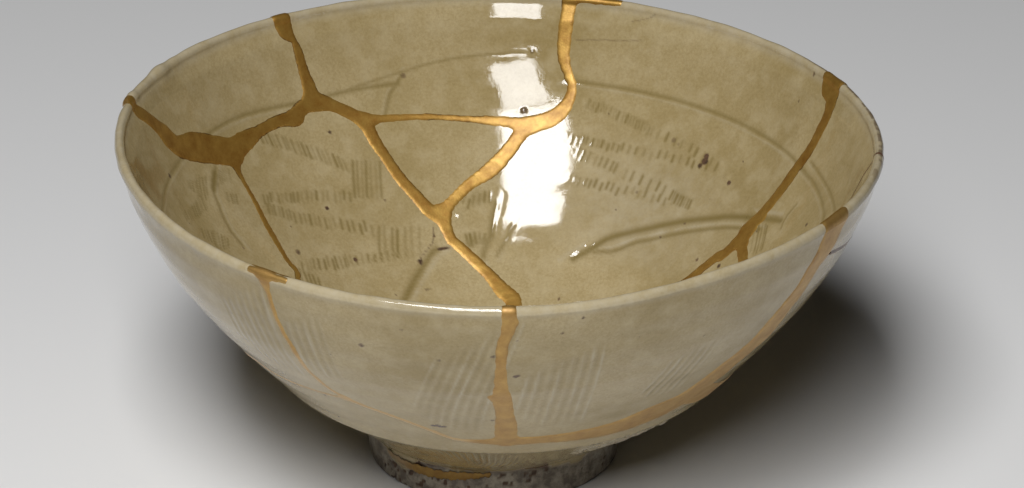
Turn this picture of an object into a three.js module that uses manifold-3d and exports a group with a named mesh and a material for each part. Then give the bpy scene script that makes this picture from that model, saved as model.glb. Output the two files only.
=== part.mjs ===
// Kintsugi bowl: a thrown, comb-incised tea bowl that broke into ten sherds and was put together again
// with lacquer seams dusted with gold. Millimetres, +Z up. The origin is on the surface the foot stands
// on, under the middle of the rim. Azimuth 0 is the front (-Y), 90 the right-hand side (+X), and
// negative azimuths are on the left.
import * as THREE from 'three';
import * as BufferGeometryUtils from 'three/addons/utils/BufferGeometryUtils.js';
import Module from 'manifold-3d';

// Body of the bowl. The bellies and the well's side are handles of its curves, [radius, height]; the lip
// starts to round at a climb, measured up the wall from 0 at the ledge to 1 at the rim.
const RIM_RADIUS = 82.5;
const HEIGHT = 75.5;
const LIP_WALL = 3;
const LIP_START = 0.975;
const LEDGE_RADIUS = 50.6;
const LEDGE_HEIGHT = 25.2;
const LEDGE_STEP = 0.4;
const LEDGE_WALL = 5;
const THROUGH_LEDGE = [-0.75, 0.66];
const WELL_FLOOR_HEIGHT = 10.5;
const WELL_FLAT_RADIUS = 22;
const WELL_SIDE = [38, 20];
const OUTER_BELLY = [[71.2, 48.5], [74.8, 52.4]];
const INNER_BELLY = [[67.5, 50.2], [71.5, 53.5]];
const ROUND_SIDES = 52;
const WALL_STEPS = 5;
const WELL_STEPS = 4;
const LIP_STEPS = 4;

// Incised ring inside, part of the way down from the lip
const RING_CLIMB = 0.64;
const RING_HALF_CLIMB = 0.016;
const RING_DEPTH = 0.35;

// Turned foot, trimmed a little to one side of the body's middle
const FOOT_OFF_CENTRE = -2.1;
const FOOT_RADIUS = 27.4;
const FOOT_TOP_RADIUS = 28.2;
const FOOT_HEIGHT = 9;
const FOOT_RING_WALL = 4.2;
const FOOT_HOLLOW_HEIGHT = 4.5;
const FOOT_CHAMFER = 0.6;
const FOOT_INTO_BODY = 1.5;

// Kiln warp: the lean of the body over its foot, and waves of the rim as [waves, cosine, sine] in mm
const LEAN = 1.15;
const RIM_WAVES = [[1, 0, -1], [2, -0.7, 0.8], [3, -0.2, 0.45]];

// The rim also sags at the front: azimuth, half width in degrees and depth
const RIM_SAG_AT = 9;
const RIM_SAG_HALF_WIDTH = 19;
const RIM_SAG_DEPTH = 1;

// It is drawn oval as well: wider from side to side, and moved to the right
const RIM_WIDER = 0.7;
const RIM_ASIDE = 0.35;

// The back left sherd was set a little high and proud, most of all beside its left-hand seam
const PROUD_SHERD_FROM = -112;
const PROUD_SHERD_TO = -99.5;
const PROUD_SHERD_STEP_WIDTH = 2;
const PROUD_SHERD_LIFT = 0.2;
const PROUD_SHERD_OUT = 0.4;

// Gold lacquer
const GOLD_PROUD = 0.25;
const SEAM_GAP = 0.3;
const CUT_PAST_FACES = 3;
const POST_SIDES = 8;

// Meeting points of the breaks: [azimuth in degrees, climb]. Climb is -1 at the top of the foot,
// 0 at the ledge and 1 at the rim, and a break passes straight through the wall.
const LEFT_FORK = [-120.8, 0.555];
const BACK_LEFT_FORK = [-143.6, 0.64];
const TRIANGLE_LEFT = [-152.6, 0.49];
const TRIANGLE_RIGHT = [-186.3, 0.415];
const TRIANGLE_FOOT = [-164.6, 0.075];
const BACK_BASE_FORK = [170, -0.82];
const RIGHT_FORK = [113.2, 0.25];
const RIGHT_BASE_FORK = [41.5, 0.17];
const FRONT_FORK = [1.2, 0.076];
const FRONT_LEFT_FORK = [-29.4, 0.275];
const PAST_RIM = 1.04;

// Width of the gold where the seams meet at each fork
const FORKS = [
  [LEFT_FORK, 6.4], [BACK_LEFT_FORK, 4], [TRIANGLE_LEFT, 3.8], [TRIANGLE_RIGHT, 3.6], [TRIANGLE_FOOT, 3.8],
  [BACK_BASE_FORK, 2.8], [RIGHT_FORK, 4], [RIGHT_BASE_FORK, 9], [FRONT_FORK, 5], [FRONT_LEFT_FORK, 2.2],
];

// Gold seams, each a run of [azimuth, climb, width in mm]
const SEAMS = {
  left_rim_to_left_fork: [
    [-98.6, PAST_RIM, 3.4], [-101.9, 0.9, 3.6], [-105, 0.8, 4.6], [-110.5, 0.69, 6], [...LEFT_FORK, 6.4],
  ],
  left_fork_to_back_left: [
    [...LEFT_FORK, 5], [-132.5, 0.595, 3.2], [-140, 0.59, 3.2], [...BACK_LEFT_FORK, 3.6],
  ],
  back_left_to_rim: [
    [...BACK_LEFT_FORK, 3.2], [-143.4, 0.87, 2.4], [-142.1, 0.96, 4], [-142.1, PAST_RIM, 4.6],
  ],
  back_left_to_triangle: [[...BACK_LEFT_FORK, 3.4], [...TRIANGLE_LEFT, 3.6]],
  triangle_top: [
    [...TRIANGLE_LEFT, 2.8], [-166, 0.463, 1.5], [-175, 0.437, 1.7], [...TRIANGLE_RIGHT, 3],
  ],
  triangle_left_side: [
    [...TRIANGLE_LEFT, 3], [-154.6, 0.32, 2.9], [-160, 0.125, 3.2], [...TRIANGLE_FOOT, 3.4],
  ],
  triangle_right_side: [[...TRIANGLE_RIGHT, 3.2], [-179.5, 0.25, 3.6], [...TRIANGLE_FOOT, 3.2]],
  triangle_to_back_rim: [
    [...TRIANGLE_RIGHT, 3.4], [-191, 0.47, 3.6], [-193.3, 0.6, 2.4], [-191.2, 0.77, 2.9],
    [-191.4, PAST_RIM, 3.1],
  ],
  back_rim_run: [[-191, 0.985, 2.6], [-199.5, 0.985, 1.8]],
  triangle_to_back_base: [
    [...TRIANGLE_FOOT, 3.4], [-170.2, -0.22, 2.8], [-175.8, -0.468, 3], [...BACK_BASE_FORK, 2.4],
  ],
  left_fork_to_front_left: [
    [...LEFT_FORK, 2.8], [-118.5, 0.316, 1.5], [-113.1, 0.038, 1.7], [-95, 0, 1.3], [-72, 0.08, 1.3],
    [-48, 0.2, 1.3], [...FRONT_LEFT_FORK, 2],
  ],
  right_rim_to_right_fork: [
    [114.2, PAST_RIM, 7], [111.4, 0.9, 3.6], [112.4, 0.45, 3.2], [...RIGHT_FORK, 3.6],
  ],
  right_fork_to_back_base: [
    [...RIGHT_FORK, 3.4], [115.4, 0.105, 3], [118.5, 0.03, 2.6], [131, -0.36, 2.5], [150, -0.72, 2.5],
    [...BACK_BASE_FORK, 2.5],
  ],
  right_fork_to_right_base: [
    [...RIGHT_FORK, 3.2], [108.4, 0.178, 3], [90, 0.07, 3.2], [68, 0.04, 4], [54, 0.075, 5],
    [...RIGHT_BASE_FORK, 6],
  ],
  front_left_rim_to_fork: [
    [-35.4, PAST_RIM, 4], [-35.2, 0.95, 2.6], [-35, 0.84, 1.4], [-34, 0.5, 1.4], [...FRONT_LEFT_FORK, 2],
  ],
  front_left_to_front: [[...FRONT_LEFT_FORK, 2], [-15.7, 0.14, 1.6], [-9, 0.08, 1.9], [...FRONT_FORK, 4.4]],
  front_rim_to_fork: [
    [1.2, PAST_RIM, 2.6], [0.4, 0.66, 2.2], [0.3, 0.475, 3.4], [0.9, 0.25, 3.9], [...FRONT_FORK, 4.4],
  ],
  front_to_right_rim: [
    [...FRONT_FORK, 4.6], [9, 0.078, 4.4], [24, 0.084, 7], [33, 0.115, 8.4], [...RIGHT_BASE_FORK, 9],
    [48, 0.37, 8.4], [52, 0.6, 7.4], [55.4, 0.81, 6.4], [58.8, PAST_RIM, 9],
  ],
};

// A flake of the right-hand rim, stuck back with a hair line of brown lacquer
const CHIP_LINE = [
  [83.6, PAST_RIM, 0.5], [83.2, 0.91, 0.5], [81.8, 0.78, 0.5], [74, 0.745, 0.5], [56, 0.87, 0.5],
];

// A bruise along the top edge of the foot, filled with gold: [azimuth, height, width]
const FOOT_BRUISE = [[-44, 6.4, 1.5], [-30, 6.2, 2.2], [-18, 6.5, 2.2], [-4, 7.2, 1.5]];
const FOOT_BRUISE_MIDDLE = -24;
const FOOT_BRUISE_DEPTH = 1.5;

// One point on the face of each sherd, [azimuth, climb], by which the sherd is known
const SHERDS = {
  sherd_back_left: [-125, 0.85],
  sherd_back: [-168, 0.75],
  sherd_back_triangle: [-167, 0.33],
  sherd_back_right: [140, 0.5],
  sherd_right: [90, 0.4],
  sherd_right_rim_chip: [74, 0.92],
  sherd_front_right: [28, 0.6],
  sherd_front_left: [-15, 0.6],
  sherd_left: [-70, 0.6],
  sherd_base_and_foot: [-60, -0.7],
};

const wasm = await Module();
wasm.setup();

// Curves of the wall in (radius, height): the outer face bellies out from the ledge to the rim, the
// inner face follows it, and the well runs level from the middle before it climbs.
const v2 = (radius, height) => new THREE.Vector2(radius, height);
const outerWall = new THREE.CubicBezierCurve(
  v2(LEDGE_RADIUS, LEDGE_HEIGHT), v2(...OUTER_BELLY[0]), v2(...OUTER_BELLY[1]), v2(RIM_RADIUS, HEIGHT));
const innerLedge = v2(...THROUGH_LEDGE).multiplyScalar(LEDGE_WALL).add(v2(LEDGE_RADIUS, LEDGE_HEIGHT));
const innerWall = new THREE.CubicBezierCurve(
  innerLedge, v2(...INNER_BELLY[0]), v2(...INNER_BELLY[1]), v2(RIM_RADIUS - LIP_WALL, HEIGHT));
const innerWell = new THREE.CubicBezierCurve(
  v2(0, WELL_FLOOR_HEIGHT), v2(WELL_FLAT_RADIUS, WELL_FLOOR_HEIGHT), v2(...WELL_SIDE), innerLedge);
const skirt = new THREE.LineCurve(
  v2(FOOT_TOP_RADIUS, FOOT_HEIGHT), v2(LEDGE_RADIUS - LEDGE_STEP, LEDGE_HEIGHT - LEDGE_STEP));

// Faces of the wall at a climb from -1 to 1
function outerAt(climb) {
  return climb < 0 ? skirt.getPoint(1 + climb) : outerWall.getPoint(climb);
}

function innerAt(climb) {
  return climb < 0 ? innerWell.getPoint(1 + climb / 2) : innerWall.getPoint(climb);
}

// Half outline of the body, from the middle of its underside round the lip to the middle of the well.
function bodyOutline() {
  const underside = [v2(0, FOOT_HOLLOW_HEIGHT), v2(FOOT_RADIUS - FOOT_RING_WALL, FOOT_HOLLOW_HEIGHT)];
  const climbs = Array.from({ length: WALL_STEPS + 1 }, (_, i) => (LIP_START * i) / WALL_STEPS);
  const outside = [outerAt(-1), outerAt(-0.5), skirt.getPoint(1), ...climbs.map(outerAt)];
  const lipOuter = outerAt(LIP_START);
  const lipInner = innerAt(LIP_START);
  const lipMiddle = lipOuter.clone().add(lipInner).multiplyScalar(0.5);
  const lip = [];
  for (let i = 1; i < LIP_STEPS; i += 1) {
    const turn = (Math.PI * i) / LIP_STEPS;
    const across = lipOuter.clone().sub(lipMiddle).multiplyScalar(Math.cos(turn));
    lip.push(lipMiddle.clone().add(across).add(v2(0, (HEIGHT - lipMiddle.y) * Math.sin(turn))));
  }
  const ring = [RING_CLIMB + RING_HALF_CLIMB, RING_CLIMB, RING_CLIMB - RING_HALF_CLIMB].map(innerAt);
  ring[1].x += RING_DEPTH;
  const above = climbs.filter((climb) => climb > RING_CLIMB + 2 * RING_HALF_CLIMB).reverse();
  const below = climbs.filter((climb) => climb < RING_CLIMB - 2 * RING_HALF_CLIMB && climb > 0).reverse();
  const well = Array.from({ length: WELL_STEPS + 1 }, (_, i) => innerWell.getPoint(1 - i / WELL_STEPS));
  return [...underside, ...outside, ...lip, ...above.map(innerAt), ...ring, ...below.map(innerAt), ...well];
}

// Closed outline of the foot ring's section, running on up into the body.
function footOutline() {
  const inside = FOOT_RADIUS - FOOT_RING_WALL;
  return [
    v2(inside, FOOT_CHAMFER),
    v2(inside + FOOT_CHAMFER, 0),
    v2(FOOT_RADIUS - FOOT_CHAMFER, 0),
    v2(FOOT_RADIUS, FOOT_CHAMFER),
    v2(FOOT_TOP_RADIUS, FOOT_HEIGHT + FOOT_INTO_BODY),
    v2(inside, FOOT_HEIGHT + FOOT_INTO_BODY),
    v2(inside, FOOT_CHAMFER),
  ];
}

// An outline moved out along its own normals by a distance.
function swollen(outline, distance) {
  return outline.map((point, i) => {
    const before = outline[Math.max(i - 1, 0)];
    const after = outline[Math.min(i + 1, outline.length - 1)];
    const along = after.clone().sub(before).normalize();
    return v2(Math.max(0, point.x + along.y * distance), point.y - along.x * distance);
  });
}

// A solid from a geometry: shared corners merged, triangles that have shrunk to a line left out.
function solid(geometry) {
  geometry.deleteAttribute('normal');
  geometry.deleteAttribute('uv');
  const merged = BufferGeometryUtils.mergeVertices(geometry);
  const index = merged.index.array;
  const triangles = [];
  for (let i = 0; i < index.length; i += 3) {
    const [a, b, c] = [index[i], index[i + 1], index[i + 2]];
    if (a !== b && b !== c && c !== a) triangles.push(a, b, c);
  }
  const vertProperties = new Float32Array(merged.attributes.position.array);
  const triVerts = new Uint32Array(triangles);
  return new wasm.Manifold(new wasm.Mesh({ numProp: 3, vertProperties, triVerts }));
}

// An outline spun round +Z, its start at the front, about a middle that may lie to one side.
function spun(outline, offCentre) {
  return solid(new THREE.LatheGeometry(outline, ROUND_SIDES).rotateX(Math.PI / 2).translate(offCentre, 0, 0));
}

// A station of a strip on the wall: where it enters inside and leaves outside, and its width.
function wallStation([azimuth, climb, width]) {
  const turn = THREE.MathUtils.degToRad(azimuth);
  const at = ({ x, y }) => new THREE.Vector3(x * Math.sin(turn), -x * Math.cos(turn), y);
  const through = at(outerAt(climb)).sub(at(innerAt(climb))).normalize().multiplyScalar(CUT_PAST_FACES);
  return { inside: at(innerAt(climb)).sub(through), outside: at(outerAt(climb)).add(through), width };
}

// The same on the outside of the foot ring, set in from the bruise's floor and ends by inset.
function footStation([azimuth, height, width], inset) {
  const halfTurn = FOOT_BRUISE_MIDDLE - FOOT_BRUISE[0][0];
  const shorten = 1 - THREE.MathUtils.radToDeg(inset / FOOT_RADIUS) / halfTurn;
  const turn = THREE.MathUtils.degToRad(FOOT_BRUISE_MIDDLE + (azimuth - FOOT_BRUISE_MIDDLE) * shorten);
  const face = FOOT_RADIUS + ((FOOT_TOP_RADIUS - FOOT_RADIUS) * height) / FOOT_HEIGHT;
  const at = (r) => new THREE.Vector3(FOOT_OFF_CENTRE + r * Math.sin(turn), -r * Math.cos(turn), height);
  const inside = at(face - FOOT_BRUISE_DEPTH + inset);
  return { inside, outside: at(face + GOLD_PROUD), width: width - 2 * inset };
}

// A strip through a run of stations: a box with one slice for each station, every corner carried to the
// side of its station. A slice stands square to the line through its neighbours.
function strip(stations, extra) {
  const last = stations.length - 1;
  const box = new THREE.BoxGeometry(1, 1, 1, last, 1, 1);
  const corner = new THREE.Vector3();
  const place = box.attributes.position;
  for (let i = 0; i < place.count; i += 1) {
    corner.fromBufferAttribute(place, i);
    const slice = Math.round((corner.x + 0.5) * last);
    const station = stations[slice];
    const run = middle(stations[Math.min(slice + 1, last)]).sub(middle(stations[Math.max(slice - 1, 0)]));
    const through = station.outside.clone().sub(station.inside);
    const across = through.clone().cross(run).normalize().multiplyScalar(corner.y * (station.width + extra));
    const spot = station.inside.clone().addScaledVector(through, corner.z + 0.5).add(across);
    place.setXYZ(i, spot.x, spot.y, spot.z);
  }
  return solid(box);
}

// The middle of a station, half way through the wall.
function middle(station) {
  return station.inside.clone().add(station.outside).multiplyScalar(0.5);
}

// A round post through a station, which fills the corners where strips meet at a fork.
function post(station, extra) {
  const through = station.outside.clone().sub(station.inside);
  const radius = (station.width + extra) / 2;
  const pin = new THREE.CylinderGeometry(radius, radius, through.length(), POST_SIDES);
  const upright = new THREE.Vector3(0, 1, 0);
  pin.applyQuaternion(new THREE.Quaternion().setFromUnitVectors(upright, through.clone().normalize()));
  return solid(pin.translate(...middle(station).toArray()));
}

// All the gold seams as one network.
function seamNetwork(extra) {
  const strips = Object.values(SEAMS).map((seam) => strip(seam.map(wallStation), extra));
  const posts = FORKS.map(([fork, width]) => post(wallStation([...fork, width]), extra));
  return [...strips, ...posts].reduce((all, next) => all.add(next));
}

// Kiln warp of a point: the rim's waves grow with the square of the height, the body leans as it rises,
// the proud sherd stands out from the rim beside its left-hand seam, and the rim sags at the front and
// is drawn oval.
function warped(point) {
  const rise = point.z / HEIGHT;
  const turn = Math.atan2(point.x, -point.y);
  const azimuth = THREE.MathUtils.radToDeg(turn);
  const waves = RIM_WAVES.map(([n, cosine, sine]) => cosine * Math.cos(n * turn) + sine * Math.sin(n * turn));
  const along = THREE.MathUtils.clamp(
    (azimuth - PROUD_SHERD_FROM) / (PROUD_SHERD_TO - PROUD_SHERD_FROM), 0, 1);
  const step = THREE.MathUtils.smoothstep(
    azimuth, PROUD_SHERD_TO - PROUD_SHERD_STEP_WIDTH / 2, PROUD_SHERD_TO + PROUD_SHERD_STEP_WIDTH / 2);
  const proud = along * (1 - step) * Math.max(0, rise) ** 4;
  const bell = Math.exp(-(((azimuth - RIM_SAG_AT) / RIM_SAG_HALF_WIDTH) ** 2));
  const sag = RIM_SAG_DEPTH * bell * Math.max(0, rise) ** 7;
  const wider = (RIM_WIDER * Math.sin(turn) + RIM_ASIDE) * rise ** 4;
  point.x += LEAN * (1 - rise) + wider + proud * PROUD_SHERD_OUT * Math.sin(turn);
  point.y -= proud * PROUD_SHERD_OUT * Math.cos(turn);
  point.z += waves.reduce((sum, wave) => sum + wave) * rise ** 2 + proud * PROUD_SHERD_LIFT - sag;
  return point;
}

// A named mesh of a solid, warped as the kiln left it.
function mesh(name, manifold, material) {
  const { vertProperties, triVerts } = manifold.getMesh();
  const geometry = new THREE.BufferGeometry();
  const positions = new Float32Array(vertProperties);
  const point = new THREE.Vector3();
  for (let i = 0; i < positions.length; i += 3) {
    warped(point.fromArray(positions, i)).toArray(positions, i);
  }
  geometry.setAttribute('position', new THREE.BufferAttribute(positions, 3));
  geometry.setIndex(new THREE.BufferAttribute(new Uint32Array(triVerts), 1));
  geometry.computeVertexNormals();
  const made = new THREE.Mesh(geometry, material);
  made.name = name;
  return made;
}

const celadon = new THREE.MeshStandardMaterial({ color: '#a5906a', roughness: 0.25, metalness: 0 });
const gold = new THREE.MeshStandardMaterial({ color: '#b98a3c', roughness: 0.4, metalness: 1 });
const lacquer = new THREE.MeshStandardMaterial({ color: '#5a3a1c', roughness: 0.45, metalness: 0 });

// The whole bowl, and the same bowl as the gold stands proud of it
const body = bodyOutline();
const wholeBowl = spun(body, 0).add(spun(footOutline(), FOOT_OFF_CENTRE));
const goldLimit = spun(swollen(body, GOLD_PROUD), 0);

const goldSeams = seamNetwork(0).intersect(goldLimit);
const bruise = FOOT_BRUISE.map((entry) => footStation(entry, 0));
const fill = FOOT_BRUISE.map((entry) => footStation(entry, SEAM_GAP));
const chipLine = CHIP_LINE.map(wallStation);
const widerGold = seamNetwork(2 * SEAM_GAP);
const brokenBowl = wholeBowl
  .subtract(widerGold)
  .subtract(strip(chipLine, 2 * SEAM_GAP))
  .subtract(strip(bruise, 0));
const pieces = brokenBowl.decompose();

const bowl = new THREE.Group();
bowl.name = 'kintsugi_bowl';
for (const [name, spot] of Object.entries(SHERDS)) {
  const pin = post(wallStation([...spot, 1]), 0);
  const sherd = pieces.find((piece) => piece.intersect(pin).volume() > 0);
  bowl.add(mesh(name, sherd, celadon));
}
bowl.add(mesh('gold_seams', goldSeams, gold));
bowl.add(mesh('gold_foot_fill', strip(fill, 0), gold));
bowl.add(mesh('brown_lacquer_line', strip(chipLine, 0).intersect(wholeBowl).subtract(widerGold), lacquer));

export default bowl;
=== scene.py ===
import bpy
import numpy as np
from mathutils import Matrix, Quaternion, Vector


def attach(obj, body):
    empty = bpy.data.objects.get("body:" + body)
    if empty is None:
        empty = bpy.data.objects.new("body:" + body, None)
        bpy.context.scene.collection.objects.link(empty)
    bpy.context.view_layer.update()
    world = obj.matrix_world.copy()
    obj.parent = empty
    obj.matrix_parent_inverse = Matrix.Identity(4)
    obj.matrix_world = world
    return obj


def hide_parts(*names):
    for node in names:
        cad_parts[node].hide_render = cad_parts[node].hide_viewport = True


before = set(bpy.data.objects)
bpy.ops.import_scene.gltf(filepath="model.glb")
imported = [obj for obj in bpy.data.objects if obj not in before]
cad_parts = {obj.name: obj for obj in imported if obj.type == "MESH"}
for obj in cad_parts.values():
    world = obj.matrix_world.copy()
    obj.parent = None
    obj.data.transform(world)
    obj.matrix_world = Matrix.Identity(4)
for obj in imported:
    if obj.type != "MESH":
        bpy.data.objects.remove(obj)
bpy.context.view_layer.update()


# The body: stoneware thrown on a wheel to a bellied wall with a rounded lip, its foot ring turned a
# little to one side, and the whole warped by the kiln. The sherds, the gold and the lacquer all follow it.
MM = 0.001
HEIGHT = 75.5
LIP_START = 0.975
OUTER_WALL = [(50.6, 25.2), (71.2, 48.5), (74.8, 52.4), (82.5, HEIGHT)]
INNER_WALL = [(46.85, 28.5), (67.5, 50.2), (71.5, 53.5), (79.5, HEIGHT)]
INNER_WELL = [(0, 10.5), (22, 10.5), (38, 20), (46.85, 28.5)]
UNDERSIDE = [  # climb, radius, height: hollow of the foot, its ring, then the skirt up to the ledge
    (-2, 0, 4.5), (-1.6, 22.6, 4.5), (-1.55, 23.2, 4), (-1.42, 23.2, 0.6), (-1.4, 23.8, 0), (-1.3, 26.8, 0),
    (-1.28, 27.4, 0.6), (-1.03, 28.2, 8.2), (-1, 28.8, 9.1), (-0.02, 50.2, 24.8), (0, 50.6, 25.2),
]
FOOT_OFF_CENTRE = -2.1
LEAN = 1.15
RIM_WAVES = [(1, 0, -1), (2, -0.7, 0.8), (3, -0.2, 0.45)]  # waves round the rim, mm even and odd
PROUD_FROM, PROUD_TO = -108, -99.1
PROUD_ABOVE, PROUD_LIFT, PROUD_OUT = 0.88, 0.2, 0.4
DIP_AT, DIP_HALF, DIP_DEPTH = 9, 19, 1.0
RIM_WIDER, RIM_ASIDE = 0.7, 0.35


def smooth(value, start, end):
    """0 before start, 1 after end, and three squares less two cubes of the share in between."""
    share = np.clip((value - start) / (end - start), 0, 1)
    return share * share * (3 - 2 * share)


def between(value, start, full, fading, end):
    """0 before start and after end, 1 from full to fading, with smooth steps up and down."""
    return smooth(value, start, full) * (1 - smooth(value, fading, end))


def bell(away, half_width):
    """A bell curve: e to the power of less the square of the distance in half widths."""
    return np.exp(-((away / half_width) ** 2))


def swing(azimuth, start):
    """Degrees from a start to an azimuth, the short way round."""
    return (azimuth - start + 180) % 360 - 180


def curve(handles, share):
    """A curve of four handles: each handle weighted by its cubic share of the way along."""
    left = 1 - share
    weights = np.stack([left**3, 3 * left**2 * share, 3 * left * share**2, share**3], -1)
    return weights @ np.array(handles, float)


def outer_outline(climb):
    """Radius and height outside: a curve up the wall, and straight runs over the skirt and the foot."""
    stations, radii, heights = np.array(UNDERSIDE, float).T
    below = np.stack([np.interp(climb, stations, radii), np.interp(climb, stations, heights)], -1)
    return np.where(climb[..., None] < 0, below, curve(OUTER_WALL, np.maximum(climb, 0)))


def inner_outline(climb):
    """Radius and height inside: a curve up the wall, and below it the curve of the well."""
    well = curve(INNER_WELL, np.clip(1 + climb / 2, 0, 1))
    return np.where(climb[..., None] < 0, well, curve(INNER_WALL, np.maximum(climb, 0)))


def wall_section(climb):
    """Outer and inner (radius, height). Past the start of the lip both run round a half ellipse: half the
    wall's thickness times a cosine across, and the height left to the rim times a sine up."""
    climb = np.asarray(climb, float)
    lip_outer = outer_outline(np.array(LIP_START))
    lip_inner = inner_outline(np.array(LIP_START))
    middle = (lip_outer + lip_inner) / 2
    turn = (np.maximum(climb - LIP_START, 0) / (1 - LIP_START) * np.pi / 2)[..., None]
    over = middle + np.array([0, HEIGHT - middle[1]]) * np.sin(turn)
    across = (lip_outer - lip_inner) / 2 * np.cos(turn)
    on_lip = climb[..., None] > LIP_START
    outer = np.where(on_lip, over + across, outer_outline(np.minimum(climb, 1)))
    inner = np.where(on_lip, over - across, inner_outline(np.minimum(climb, 1)))
    return outer, inner


def warped(azimuth, climb, section):
    """Points of a section turned to an azimuth and warped as the kiln left them: the rim's waves grow with
    the square of the height, the body leans over its foot, one sherd stands a little proud of the rim, the
    rim dips at the front, and it is drawn oval, wider from side to side and more so to the right."""
    turn = np.radians(azimuth)
    radius, height = section[..., 0], section[..., 1]
    rise = height / HEIGHT
    waves = sum(even * np.cos(n * turn) + odd * np.sin(n * turn) for n, even, odd in RIM_WAVES)
    proud = between(azimuth, PROUD_FROM, PROUD_TO, PROUD_TO, PROUD_TO + 1) * smooth(climb, PROUD_ABOVE, 1)
    radius = radius + proud * PROUD_OUT
    shift = LEAN * (1 - rise) + FOOT_OFF_CENTRE * (1 - smooth(climb, -1, -0.6)) * (climb > -2)
    x = radius * np.sin(turn) + shift + (RIM_WIDER * np.sin(turn) + RIM_ASIDE) * rise**4
    y = -radius * np.cos(turn)
    dip = DIP_DEPTH * bell(swing(azimuth, DIP_AT), DIP_HALF) * np.maximum(rise, 0) ** 7
    return np.stack([x, y, height + waves * rise**2 + proud * PROUD_LIFT - dip], -1)


def wall_points(azimuth, climb, outer_relief, inner_relief):
    """Outer and inner points of the wall, each moved out of its face, along the section's normal, by a
    relief in mm. The normal is the section's direction turned a quarter."""
    step = 0.003
    after, before = wall_section(climb + step), wall_section(climb - step)
    points = []
    for face, relief, side in ((0, outer_relief, 1), (1, inner_relief, -1)):
        run = after[face] - before[face]
        run = run / np.maximum(np.linalg.norm(run, axis=-1, keepdims=True), 1e-9)
        normal = np.stack([run[..., 1], -run[..., 0]], -1) * side
        section = wall_section(climb)[face] + normal * np.asarray(relief)[..., None]
        section[..., 0] = np.maximum(section[..., 0], 0)
        points.append(warped(azimuth, climb, section))
    return points


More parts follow.
